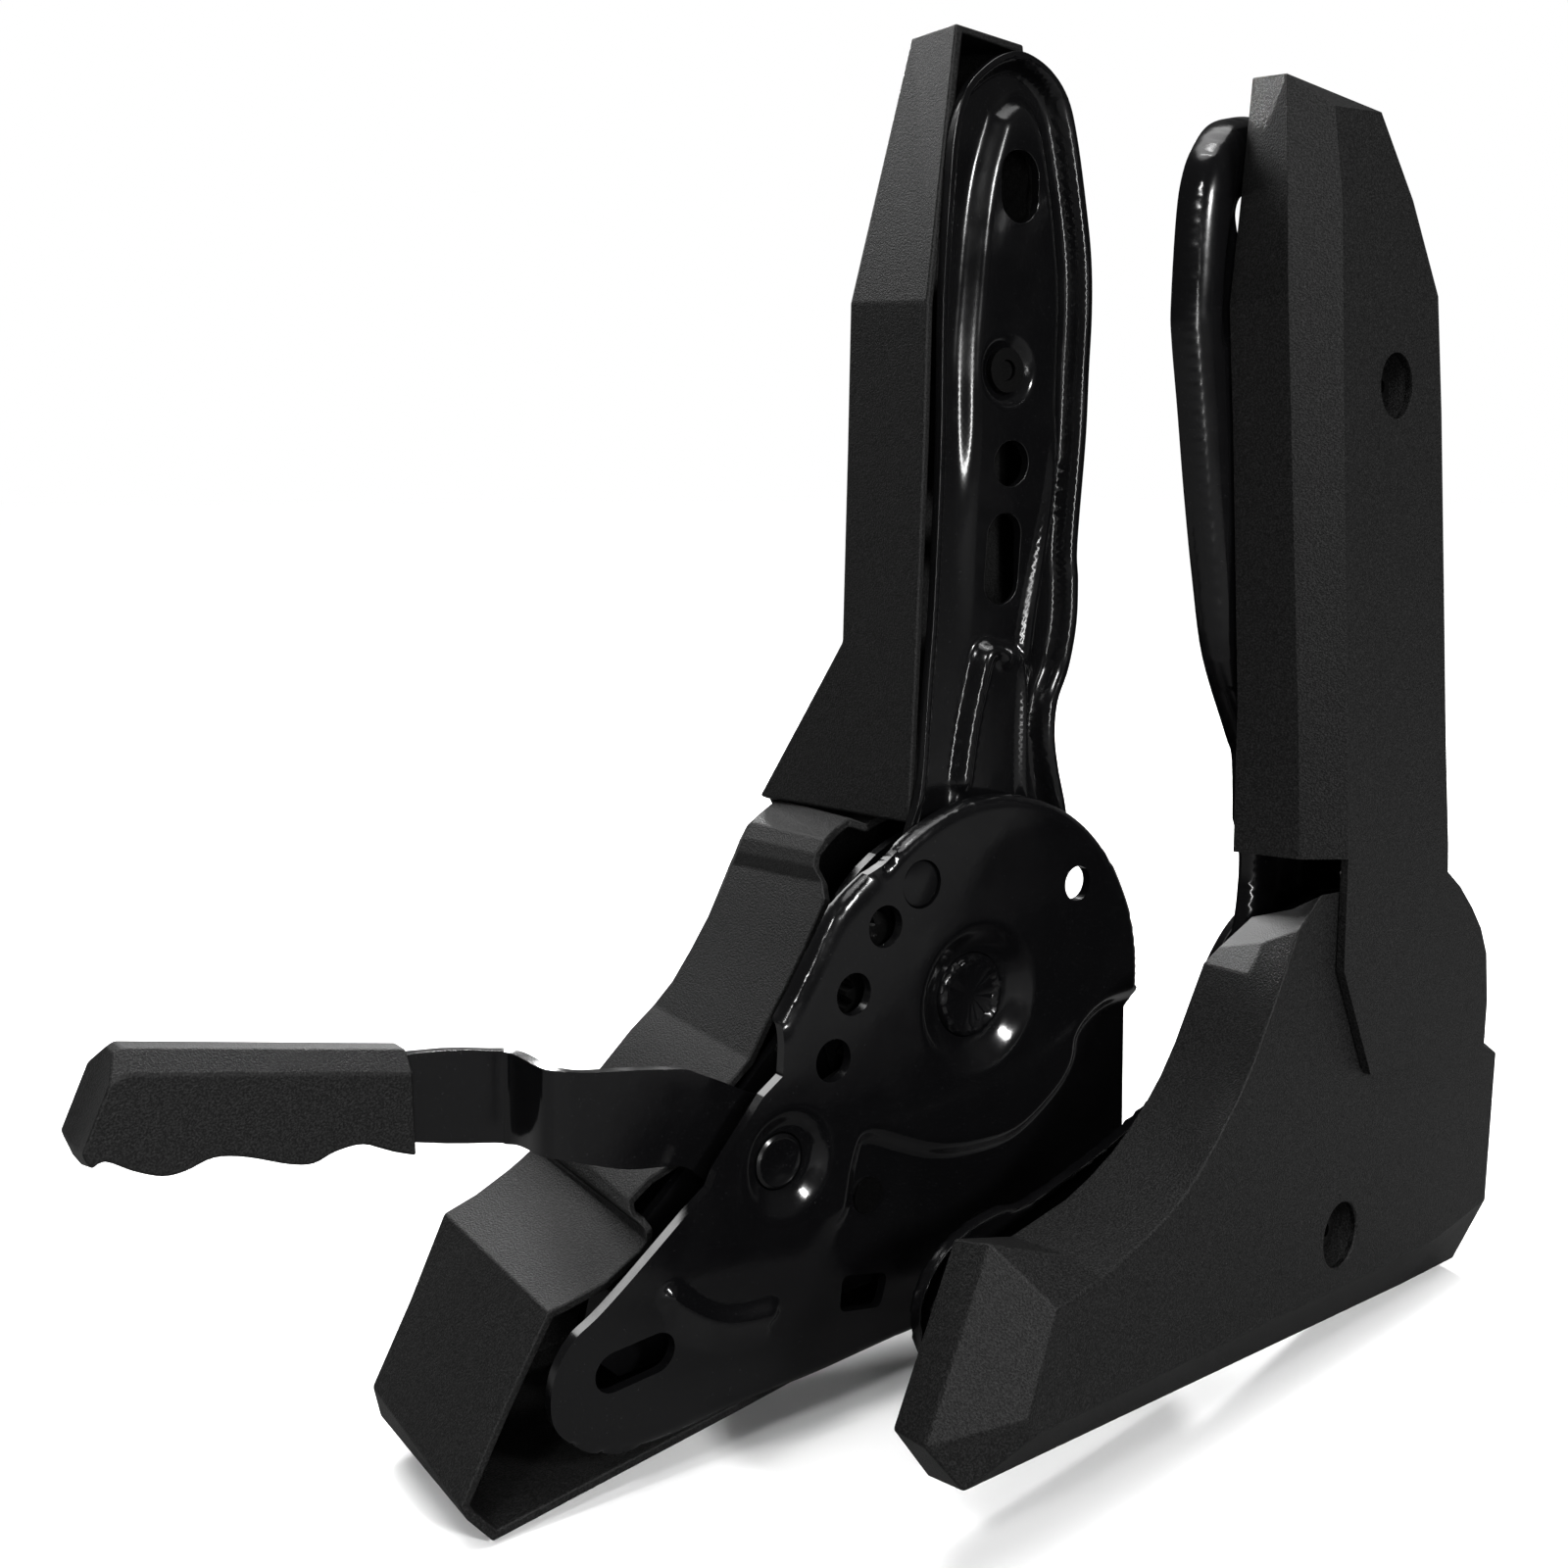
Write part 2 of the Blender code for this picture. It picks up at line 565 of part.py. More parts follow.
def main_covers(unit):
    rows = [
        (53, (-14.5, -25, -16, 40, 48, 48), 74, 80), (100, (-12, -16, -6, 40, 49, 49), 43, 54),
        (161, (-9.5, -15, -5, 38, 48, 48), 43, 54), (200, (-8, -14, -4, 37, 46, 46), 43, 54),
        (279, (2, 7, 14, 27, 34, 36), 41, 50),
    ]
    tongue = [(-2, 20), (10, -22), (34, -22), (44, 20)]
    upper = upper_cover(unit, rows, MAIN_RIM, tongue, 80.0)
    recess(unit, upper, "main_upper", MAIN_SCREW, 54.0)
    cover_screw(unit, "main_upper_screw", MAIN_SCREW, 54.0, ARM_WEB - 1)
    walls = [
        (-28, 42.5, 27), (-37, 38, 19), (-45, 28, 19), (-53, 16, 19), (-63, 0, 19), (-74, -16, 19), (-90, -31, 19),
        (-107, -44, 13), (-134, -59, 11), (-160, -101, 11), (-150, -113, 11), (60, -83, 11), (66, -74, 11),
        (62, -20, 11), (60, 0, 33), (54, 24, 33),
    ]
    inward = [
        (2, -2), (2, -2), (2, -1), (2, -1), (2, -1), (2, -1), (1, -2), (1, -2), (2, -2), (6, 1), (4, 5), (-5, 5),
        (-6, 3), (-6, 0), (-6, 0), (-5, -2),
    ]
    stations = [(x, z, d, x + dx * 0.1, z + dz * 0.1, MAIN_LOWER_FACE - 6, x + dx, z + dz)
                for (x, z, d), (dx, dz) in zip(walls, inward)]
    hood = [(x, z, 28, x, z, MAIN_LOWER_FACE - 6, x * 0.93, z * 0.93) for x, z in arc(0, 0, HOOD_R, 28, 116, 8)]
    lower = lower_cover(unit, stations + hood, MAIN_LOWER_FACE, True)
    recess(unit, lower, "main_lower", MAIN_LOWER_SCREW, MAIN_LOWER_FACE)
    cover_screw(unit, "main_lower_screw", MAIN_LOWER_SCREW, MAIN_LOWER_FACE, OUTER_PLATE - 2)


# ---------------------------------------------------------------- follower unit

SIDE_RIM, SIDE_LOWER_FACE, SIDE_UPPER_FACE = 16.0, 44.0, 47.0
SIDE_SCREW, SIDE_LOWER_SCREW = (-11.0, 201.0), (-27.0, -45.0)


def side_unit():
    unit = Unit("side", -1, SIDE_PIVOT, SIDE_YAW)
    disc = arc(6, -5, 50.0, -8, 150, 26)
    edge = [(-46, 2), (-62, -6), (-84, -12), (-108, -17), (-125, -19), (-135, -17.5), (-148, -19)]
    toe = [(-158, -23), (-165, -30), (-167, -37), (-165, -46), (-158, -56), (-148, -60), (-132, -61)]
    end = [(56, -72), (56, -15)]
    holes = [slot(-146, -38, 29, 13, 8), circle(-18, 28, 5.3)]
    holes += [circle(x, z, 6.8) for x, z in ((-31, 9), (-42, -9))]
    inner_plate(unit, disc + edge + toe + end, holes)
    spacers = ((-70, -48), (34, -58))
    back = arc(0, 0, 48, 0, 150, 20) + [(-60, -8), (-100, -20), (-140, -24), (-150, -38), (-140, -50), (-100, -56)]
    back += [(50, -66), (50, -15)]
    openings = [circle(x, z, 4.3) for x, z in spacers] + [circle(*SIDE_LOWER_SCREW, 3.1)]
    outer_plate(unit, back, openings)
    front = [(-41, 20), (-33, 31), (-27, 44), (-25, 61), (-26, 89), (-30, 98), (-43, 122), (-49, 145), (-54, 170),
             (-58, 194), (-62, 214), (-62, 224), (-59, 249)]
    top = [(-57, 260), (-53, 269), (-45, 276), (-35, 279.5), (-23, 280), (-12, 277), (-4, 270), (1, 260)]
    rear = [(5, 240), (7, 214), (7, 190), (8, 160), (9, 129), (11, 105), (13, 92), (17, 75), (26, 56), (34, 42)]
    web_holes = [slot(-36.5, 246, 21, 14.6), circle(*SIDE_SCREW, NUT_R + GAP), circle(-25, 172, 6.7),
                 slot(-20, 142, 27, 13.4)]
    arm(unit, front, top, rear, web_holes)
    hinge = circle(0, 0, SECTOR_ROOT_R, 36)
    plate(unit, "side_hinge_plate", [hinge, circle(0, 0, BUSH_R + GAP)], SECTOR, SECTOR + SECTOR_THICK, "bare_steel")
    pivot_pin(unit)
    return_spring(unit, HOOK_ANGLE)
    spring_hook(unit, HOOK_ANGLE)
    stop_rivet(unit, (-18, 28))
    spacer_rivets(unit, spacers)
    rivet_nut(unit, SIDE_SCREW)
    side_covers(unit)


def side_covers(unit):
    rows = [
        (66, (-43, -39, -34, 29, 37, 39), 35, 47), (190, (-47, -48, -41, 17, 26, 28), 35, 47),
        (224, (-50, -51, -43, 13, 22, 24), 35, 47), (285, (-40, -53, -46, -20, -8, -2), 35, 47),
    ]
    tongue = [(-34, 35), (-17, 1), (16, -2), (30, 33)]
    upper = upper_cover(unit, rows, SIDE_RIM, tongue, SIDE_UPPER_FACE)
    recess(unit, upper, "side_upper", SIDE_SCREW, SIDE_UPPER_FACE)
    cover_screw(unit, "side_upper_screw", SIDE_SCREW, SIDE_UPPER_FACE, ARM_WEB - 1)
    rim, mid = SIDE_RIM, 32.0
    stations = [
        (-32, 45, rim, -37, 51, mid, -42, 58), (-50, 39, rim, -52, 44, mid, -54, 50),
        (-60, 33, rim, -61, 34, mid, -63, 36), (-72, 16, rim, -73, 17, mid, -75, 19),
        (-86, 2, rim, -88, 2, mid, -92, 2), (-102, -8, rim, -104, -8, mid, -107, -9),
        (-122, -15, rim, -123, -15, mid, -126, -16), (-145, -18, rim, -144, -18, mid, -144, -20),
        (-167, -12, rim, -168, -10, 28, -162, -22), (-189, -52, rim, -191, -51, 28, -173, -45),
        (-176, -69, rim, -184, -62, 34, -169, -50), (32, -86, rim, 30, -82, 34, 30, -65),
        (70, -88, rim, 68, -85, 34, 69, -62), (80, -14, rim, 80, -14, 38, 74, -14),
        (71, -10, rim, 70, -10, 38, 65, -11), (71, 10, rim, 71, 10, 38, 66, 10),
        (69, 22, rim, 69, 22, 38, 65, 21), (58, 41, rim, 58, 41, 38, 54, 37), (38, 56, rim, 38, 56, 38, 35, 52),
    ]
    lower = lower_cover(unit, stations, SIDE_LOWER_FACE, False)
    recess(unit, lower, "side_lower", SIDE_LOWER_SCREW, SIDE_LOWER_FACE)
    cover_screw(unit, "side_lower_screw", SIDE_LOWER_SCREW, SIDE_LOWER_FACE, OUTER_PLATE - 2)


def shade_smooth():
    for ob in PARTS.objects:
        if ob.type == "MESH":
            ob.data.shade_smooth()
            ob.data.set_sharp_from_angle(angle=math.radians(30))


main_unit()
side_unit()
shade_smooth()
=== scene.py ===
import json
import math
import random

import bmesh
import bpy
import numpy as np
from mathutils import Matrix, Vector, geometry

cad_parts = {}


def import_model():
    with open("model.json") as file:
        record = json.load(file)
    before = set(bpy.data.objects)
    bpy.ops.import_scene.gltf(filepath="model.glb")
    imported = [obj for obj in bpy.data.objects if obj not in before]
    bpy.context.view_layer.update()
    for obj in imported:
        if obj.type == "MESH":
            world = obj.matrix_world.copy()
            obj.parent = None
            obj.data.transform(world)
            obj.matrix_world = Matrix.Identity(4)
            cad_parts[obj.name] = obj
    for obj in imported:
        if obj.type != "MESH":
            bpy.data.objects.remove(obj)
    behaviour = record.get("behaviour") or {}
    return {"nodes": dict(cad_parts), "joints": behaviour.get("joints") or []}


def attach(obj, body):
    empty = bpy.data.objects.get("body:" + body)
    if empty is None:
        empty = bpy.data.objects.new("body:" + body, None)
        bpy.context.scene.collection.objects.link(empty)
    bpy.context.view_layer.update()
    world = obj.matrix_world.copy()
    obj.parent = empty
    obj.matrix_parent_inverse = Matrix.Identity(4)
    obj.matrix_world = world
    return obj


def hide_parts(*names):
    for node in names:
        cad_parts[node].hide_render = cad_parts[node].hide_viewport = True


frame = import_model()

# Each unit is drawn in its own frame in millimetres: x to the rear, z up, and d the depth from the
# inner face of its base plate outwards to its covers, with the recline axis at x = 0, z = 0.
MM = 0.001
JOINTS = {j["name"]: j for j in frame["joints"]}
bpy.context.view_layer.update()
SHEET = 3.0
THINNEST_PRESSING = 1.4
PLATE_BACK, ARM_BACK = 6.2, 15.0
FOOT_R, ARM_BORE_R = 46, 11.3
RECESS_R, RECESS_DEEP, SCREW_R = 9.5, 9.0, 3.3
COVER_WALL = 2.5
COVER_SHARP = 25
UP = Vector((0.0, 0.0, 1.0))


# ---------------------------------------------------------------- materials

def new_material(name, colour, roughness, metallic=0.0, gloss=0.5):
    mat = bpy.data.materials.new(name)
    mat.use_nodes = True
    shader = mat.node_tree.nodes["Principled BSDF"]
    shader.inputs["Base Color"].default_value = (*colour, 1.0)
    shader.inputs["Roughness"].default_value = roughness
    shader.inputs["Metallic"].default_value = metallic
    shader.inputs["Specular IOR Level"].default_value = gloss
    return mat


def add_noise(mat, scale, detail=2.0):
    tree = mat.node_tree
    where = tree.nodes.new("ShaderNodeTexCoord")
    noise = tree.nodes.new("ShaderNodeTexNoise")
    noise.inputs["Scale"].default_value = scale
    noise.inputs["Detail"].default_value = detail
    tree.links.new(where.outputs["Object"], noise.inputs["Vector"])
    return noise


def ramp_between(mat, noise, low, high, start=0.4, end=0.6):
    """A colour that runs from low to high as the noise goes from start to end."""
    tree = mat.node_tree
    ramp = tree.nodes.new("ShaderNodeValToRGB")
    ramp.color_ramp.elements[0].position = start
    ramp.color_ramp.elements[0].color = (*low, 1.0)
    ramp.color_ramp.elements[1].position = end
    ramp.color_ramp.elements[1].color = (*high, 1.0)
    tree.links.new(noise.outputs["Fac"], ramp.inputs["Fac"])
    return ramp


def add_bump(mat, noise, strength, distance):
    tree = mat.node_tree
    bump = tree.nodes.new("ShaderNodeBump")
    bump.inputs["Strength"].default_value = strength
    bump.inputs["Distance"].default_value = distance
    tree.links.new(noise.outputs["Fac"], bump.inputs["Height"])
    tree.links.new(bump.outputs["Normal"], tree.nodes["Principled BSDF"].inputs["Normal"])


def feed(mat, source, name):
    mat.node_tree.links.new(source.outputs["Color"], mat.node_tree.nodes["Principled BSDF"].inputs[name])


def painted_steel():
    """Gloss black paint: slight orange peel and faint dust."""
    black, dust = (0.002, 0.002, 0.0022), (0.02, 0.02, 0.021)
    mat = new_material("gloss_black_steel", black, 0.14, gloss=0.25)
    add_bump(mat, add_noise(mat, 260.0), 0.05, 0.0004)
    feed(mat, ramp_between(mat, add_noise(mat, 1900.0, 4.0), black, dust, 0.66, 0.8), "Base Color")
    feed(mat, ramp_between(mat, add_noise(mat, 60.0, 4.0), (0.12,) * 3, (0.22,) * 3), "Roughness")
    return mat


def grained_plastic():
    """Matte black moulded plastic with a fine eroded grain."""
    mat = new_material("grained_black_plastic", (0.004, 0.004, 0.0042), 0.5, gloss=0.11)
    grain = add_noise(mat, 2000.0, 3.0)
    add_bump(mat, grain, 0.9, 0.00025)
    feed(mat, ramp_between(mat, grain, (0.003,) * 3, (0.016,) * 3, 0.42, 0.75), "Base Color")
    return mat


def dark_metal():
    mat = new_material("dark_bare_steel", (0.015, 0.015, 0.016), 0.4, metallic=1.0)
    mottle = ramp_between(mat, add_noise(mat, 2500.0), (0.01,) * 3, (0.024,) * 3, 0.3, 0.8)
    feed(mat, mottle, "Base Color")
    return mat


STEEL, PLASTIC, METAL = painted_steel(), grained_plastic(), dark_metal()


# ---------------------------------------------------------------- units and pieces

class Unit:
    """One hinge unit's frame, read from its recline joint."""

    def __init__(self, joint, side, back_body, base_body):
        hinge = JOINTS[joint]
        self.origin = Vector(hinge["pos_m"])
        axis = Vector(hinge["axis"])
        self.out = axis * side
        self.rear = axis.cross(UP)
        self.base, self.back = base_body, back_body

    def place(self, x, d, z):
        return self.origin + (self.rear * float(x) + self.out * float(d) + UP * float(z)) * MM


MAIN = Unit("recline_main", 1, "main_back_arm", "main_base")
SIDE = Unit("recline_side", -1, "side_back_arm", "side_base")


def linked_object(name, bm):
    """A new object in the scene, made from a bmesh that it uses up."""
    mesh = bpy.data.meshes.new(name)
    bm.to_mesh(mesh)
    bm.free()
    ob = bpy.data.objects.new(name, mesh)
    bpy.context.scene.collection.objects.link(ob)
    return ob


def round_edges(ob, width, segments, angle):
    """Rounds every edge that turns by more than the angle, in degrees."""
    step = ob.modifiers.new("Edges", "BEVEL")
    step.width = width * MM
    step.segments = segments
    step.limit_method = "ANGLE"
    step.angle_limit = math.radians(angle)
    step.harden_normals = True


def add_piece(name, bm, material, body, nodes=(), bevel=0.0, angle=30):
    """The finished object: joined to its CAD body, standing for the CAD nodes named."""
    bmesh.ops.recalc_face_normals(bm, faces=bm.faces)
    ob = linked_object(name, bm)
    ob.data.materials.append(material)
    ob.data.shade_smooth()
    ob.data.set_sharp_from_angle(angle=math.radians(angle))
    if bevel:
        round_edges(ob, bevel, 2, angle)
    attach(ob, body)
    if nodes:
        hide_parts(*nodes)
    return ob


# ---------------------------------------------------------------- outlines

def arc(cx, cz, r, start, end, steps):
    turns = [math.radians(start + (end - start) * i / steps) for i in range(steps + 1)]
    return [(cx + r * math.cos(t), cz + r * math.sin(t)) for t in turns]


def circle(cx, cz, r, sides=48):
    return arc(cx, cz, r, 0.0, 360.0, sides)[:-1]


def slot(cx, cz, length, width, tilt=90.0):
    r = width / 2
    t = math.radians(tilt)
    dx, dz = (length / 2 - r) * math.cos(t), (length / 2 - r) * math.sin(t)
    ahead = arc(cx + dx, cz + dz, r, tilt - 90, tilt + 90, 16)
    return ahead + arc(cx - dx, cz - dz, r, tilt + 90, tilt + 270, 16)


def spline(points, per=6):
    """A smooth open curve through the points."""
    pts = [Vector(p) for p in points]
    pts = [pts[0] * 2 - pts[1]] + pts + [pts[-1] * 2 - pts[-2]]
    out = []
    for a, b, c, e in zip(pts, pts[1:], pts[2:], pts[3:]):
        for k in range(per):
            t = k / per
            out.append(tuple(0.5 * ((2 * b) + (c - a) * t + (2 * a - 5 * b + 4 * c - e) * t * t
                                    + (3 * b - a - 3 * c + e) * t ** 3)))
    out.append(tuple(pts[-2]))
    return out


def closed_spline(points, per=5):
    return spline(points + points[:1], per)[:-1]


def rounded(points, r, steps=5):
    """A closed outline with its corners cut to curves of about radius r."""
    out = []
    for i, corner in enumerate(points):
        here = Vector(corner)
        back, ahead = Vector(points[i - 1]) - here, Vector(points[(i + 1) % len(points)]) - here
        half = back.angle(ahead) / 2
        cut = min(r / math.tan(half), back.length * 0.45, ahead.length * 0.45)
        start, end = here + back.normalized() * cut, here + ahead.normalized() * cut
        for k in range(steps + 1):
            t = k / steps
            out.append(tuple((1 - t) ** 2 * start + 2 * t * (1 - t) * here + t * t * end))
    return out


def even(path, pitch):
    """A closed outline with points no further apart than pitch."""
    out = []
    for a, b in zip(path, path[1:] + path[:1]):
        steps = max(1, math.ceil(math.dist(a, b) / pitch))
        out += [(a[0] + (b[0] - a[0]) * i / steps, a[1] + (b[1] - a[1]) * i / steps) for i in range(steps)]
    return out


def distance(pts, path, closed=True):
    """Distance from each point to a line of points."""
    best = np.full(len(pts), 1e9)
    for a, b in zip(path, path[1:] + (path[:1] if closed else [])):
        a, b = np.array(a), np.array(b)
        ab = b - a
        t = np.clip(((pts - a) @ ab) / max(float(ab @ ab), 1e-9), 0, 1)
        best = np.minimum(best, np.linalg.norm(pts - (a + t[:, None] * ab), axis=1))
    return best


def inside(pts, path):
    hit = np.zeros(len(pts), bool)
    for (ax, az), (bx, bz) in zip(path, path[1:] + path[:1]):
        if az == bz:
            continue
        span = (pts[:, 1] > az) != (pts[:, 1] > bz)
        hit ^= span & (pts[:, 0] < (bx - ax) * (pts[:, 1] - az) / (bz - az) + ax)
    return hit


def signed(pts, path):
    """Distance inside a closed outline, negative outside it."""
    return np.where(inside(pts, path), 1.0, -1.0) * distance(pts, path)


def ease(value, start, end):
    """0 before start, 1 after end, smooth between."""
    t = np.clip((value - start) / (end - start), 0, 1)
    return t * t * (3 - 2 * t)


def cone(pts, at, low, high):
    """1 within the low radius of a point, 0 beyond the high one."""
    return 1 - ease(np.hypot(pts[:, 0] - at[0], pts[:, 1] - at[1]), low, high)


# ---------------------------------------------------------------- pressed sheet and lofts

def triangulate(outline, holes, pitch):
    """An even net of triangles inside the outline and outside the holes: its points and its faces."""
    outline = even(outline, pitch)
    holes = [even(h, pitch) for h in holes]
    border = outline + [p for h in holes for p in h]
    edges, start = [], 0
    for loop in [outline] + holes:
        count = len(loop)
        edges += [(start + i, start + (i + 1) % count) for i in range(count)]
        start += count
    low, high = np.min(outline, axis=0), np.max(outline, axis=0)
    xs, zs = np.arange(low[0], high[0], pitch), np.arange(low[1], high[1], pitch)
    grid = np.array([(x + (pitch / 2 if i % 2 else 0), z) for i, z in enumerate(zs) for x in xs])
    keep = inside(grid, outline) & (distance(grid, outline) > pitch * 0.6)
    for hole in holes:
        keep &= ~inside(grid, hole) & (distance(grid, hole) > pitch * 0.6)
    points = [Vector(p) for p in border] + [Vector(p) for p in grid[keep]]
    flat, _, faces = geometry.delaunay_2d_cdt(points, edges, [], 1, 1e-6)[:3]
    flat = np.array([tuple(p) for p in flat])
    centres = np.array([flat[list(f)].mean(axis=0) for f in faces])
    good = inside(centres, outline)
    for hole in holes:
        good &= ~inside(centres, hole)
    return flat, [face for face, ok in zip(faces, good) if ok]


def pressed(unit, name, body, nodes, outline, holes, shape, back=None, pitch=1.2):
    """A piece pressed from sheet: shape gives its inner face's depth at each point, back its other face's."""
    flat, faces = triangulate(outline, holes, pitch)
    depth = shape(flat)
    far = back(flat, depth) if back else depth + SHEET
    bm = bmesh.new()
    near_v = [bm.verts.new(unit.place(x, d, z)) for (x, z), d in zip(flat, depth)]
    far_v = [bm.verts.new(unit.place(x, d, z)) for (x, z), d in zip(flat, far)]
    used = {}
    for face in faces:
        bm.faces.new([near_v[i] for i in face])
        bm.faces.new([far_v[i] for i in reversed(face)])
        for a, b in zip(face, face[1:] + face[:1]):
            used[(a, b)] = True
    for a, b in used:
        if (b, a) not in used:
            bm.faces.new([near_v[b], near_v[a], far_v[a], far_v[b]])
    for v in [v for v in bm.verts if not v.link_faces]:
        bm.verts.remove(v)
    add_piece(name, bm, STEEL, body, nodes, bevel=0.35, angle=60)


def loft(unit, rows, caps=(), closed=False):
    """An open bmesh through rows of (x, d, z) points, plus cap polygons."""
    bm = bmesh.new()
    verts = {}

    def vert(point):
        key = tuple(round(float(v), 4) for v in point)
        if key not in verts:
            verts[key] = bm.verts.new(unit.place(*point))
        return verts[key]

    for low, high in zip(rows, rows[1:]):
        span = len(low) if closed else len(low) - 1
        for i in range(span):
            j = (i + 1) % len(low)
            corners = list(dict.fromkeys(vert(p) for p in (low[i], low[j], high[j], high[i])))
            if len(corners) > 2:
                bm.faces.new(corners)
    for cap in caps:
        bm.faces.new([vert(p) for p in cap])
    bmesh.ops.recalc_face_normals(bm, faces=bm.faces)
    return bm


def shell(unit, name, body, node, bm, bevel=0.8, angle=12):
    """A moulded cover: the loft is its outer skin, thickened inwards, its edges slightly rounded."""
    largest = max(bm.faces, key=lambda f: f.calc_area() * abs(f.normal.dot(unit.out)))
    if largest.normal.dot(unit.out) < 0:
        bmesh.ops.reverse_faces(bm, faces=bm.faces)
    ob = linked_object(name, bm)
    ob.data.materials.append(PLASTIC)
    ob.data.shade_smooth()
    ob.data.set_sharp_from_angle(angle=math.radians(COVER_SHARP))
    step = ob.modifiers.new("Wall", "SOLIDIFY")
    step.thickness = COVER_WALL * MM
    step.offset = -1.0
    step.use_even_offset = True
    round_edges(ob, bevel, 3, angle)
    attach(ob, body)
    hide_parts(node)
    return ob


# ---------------------------------------------------------------- main unit: base plate

JOGGLE = [(80, -7), (66, -7), (53, -8), (44, -12), (38, -18), (36, -26), (29, -33), (16, -40), (2, -41),
          (-13, -39), (-26, -34), (-35, -30), (-41, -29), (-45, -31), (-48, -39), (-50, -49)]
POCKET_DEEP = 4.2
DISC = (6, -3, 60.5)
LEVER = (-69.0, -33.0)


def curl(pts, path, width, deep):
    """An edge rolled away in a quarter round."""
    near = np.clip(1 - distance(pts, path, closed=False) / width, 0, 1)
    return deep * (1 - np.sqrt(1 - near ** 2))


def pocket_depth(pts):
    """The pocket under the disc: a firm flank along the joggle that fades out past its curled end."""
    line = spline(JOGGLE, 8)
    end = line[-1]
    within = np.where(inside(pts, line + [(-51, -120), (90, -120)]), 1.0, 0.0)
    reach = np.hypot(pts[:, 0] - end[0], pts[:, 1] - end[1]) + 1e-6
    fan = 0.5 + 0.5 * (pts[:, 0] - end[0]) / reach
    weight = np.where(pts[:, 1] < end[1], fan, within)
    return POCKET_DEEP * ease(distance(pts, line, closed=False), 0.0, 7.0) * weight


def main_plate_depth(pts):
    """The disc stands proud of the pocket; its rim curls away; the pivot and the lever pin sit in dishes."""
    depth = pocket_depth(pts)
    rim = curl(pts, arc(*DISC, -4, 132, 60), 3.4, 2.6) * (1 - depth / POCKET_DEEP)
    flange = spline([(-40, 41), (-50, 33), (-58, 21), (-64, 12), (-69, 5)], 5)
    depth += np.maximum(rim, curl(pts, flange, 8.0, 3.2))
    toe_edge = [(-136, -88), (-131.5, -91), (-124, -95.4), (-112, -97.5), (-75, -96), (-27, -94), (30, -92)]
    depth += curl(pts, toe_edge, 2.6, 1.6)
    depth += 4.6 * cone(pts, (0, 0), 12.5, 23.0)
    depth += 3.2 * cone(pts, (LEVER[0] + 1, LEVER[1]), 8.0, 15.5) * ease(pts[:, 0], -87, -76)
    depth += 1.8 * ease(-pts[:, 1], 50, 80) * ease(-pts[:, 0], 50, 85)
    ridge = spline([(-105, -59), (-96.5, -66), (-88.5, -70.5), (-80.5, -72.2), (-73, -72.8)], 6)
    rib = distance(pts, ridge, closed=False)
    below = inside(pts, ridge + [(-73, -140), (-105, -140)])
    depth -= 2.6 * np.where(below, np.clip(1 - rib / 8.5, 0, 1) ** 1.3, np.clip(1 - rib / 3.6, 0, 1))
    return depth


def plate_back(pts, depth):
    return np.maximum(np.minimum(depth + SHEET, PLATE_BACK), depth + THINNEST_PRESSING)


def main_plate():
    disc = arc(*DISC, -4, 124, 60)
    front = spline([(-37, 42.5), (-50, 33), (-58, 21), (-64, 12), (-69, 5)], 5)
    notched = [(-64, 1), (-70, -9), (-76, -13), (-84, -22), (-91, -30), (-93, -34), (-97, -36)]
    edge = rounded(notched, 1.5)[6:-6]
    toe = spline([(-99, -38), (-124, -57), (-133, -63), (-138, -72), (-138, -83), (-131.5, -91),
                  (-124, -95.4), (-112, -97.5), (-75, -96), (-27, -94)], 6)
    end = [(64, -90), (64, -15), (66, -13)]
    holes = [circle(x, z, 5.9) for x, z in ((-35, 26), (-46, 9), (-53, -8))]
    holes += [circle(-22, 36, 6.9), circle(0, 0, 12.4), circle(39, 28, 5.2), circle(*LEVER, 7.9)]
    holes += [slot(-114.5, -74.2, 23.5, 10.8, 5)]
    holes += [rounded([(-48, -70), (-31, -74), (-34, -83), (-49, -80)], 2.5)]
    outline = disc + front + edge + toe + end
    pressed(MAIN, "visual_main_inner_plate", MAIN.base, ["main_inner_plate"], outline, holes,
            main_plate_depth, plate_back)


# ---------------------------------------------------------------- arms

MAIN_PANEL = [(15.8, 251.5), (10.5, 236), (7.6, 220.7), (5.3, 199.5), (4, 182.8), (4, 160), (3.9, 137),
              (5, 115), (7, 90), (20, 84), (29, 92), (32, 110), (36, 135), (38.4, 150), (38.6, 175),
              (39.4, 199.5), (38.5, 213), (35.8, 231), (31.2, 250), (24, 257)]
MAIN_NECK = [(19, 99), (13, 100), (9.5, 97), (7.5, 88), (4.7, 76), (2, 61), (0, 36), (28, 36), (27, 60),
             (27, 85), (25, 97)]
MAIN_RIDGE = [(38.6, 165), (37.5, 145), (34, 125), (30.5, 105), (28, 85), (27.5, 60), (29, 42)]
MAIN_HOOK = [(19, 96), (16, 98.5), (12, 97), (8.5, 88), (5.2, 76), (2.5, 61)]


def bead(pts, points, per, width, high):
    """A half-round bead along a line of points."""
    away = distance(pts, spline(points, per), closed=False)
    return high * np.clip(1 - (away / width) ** 2, 0, 1)


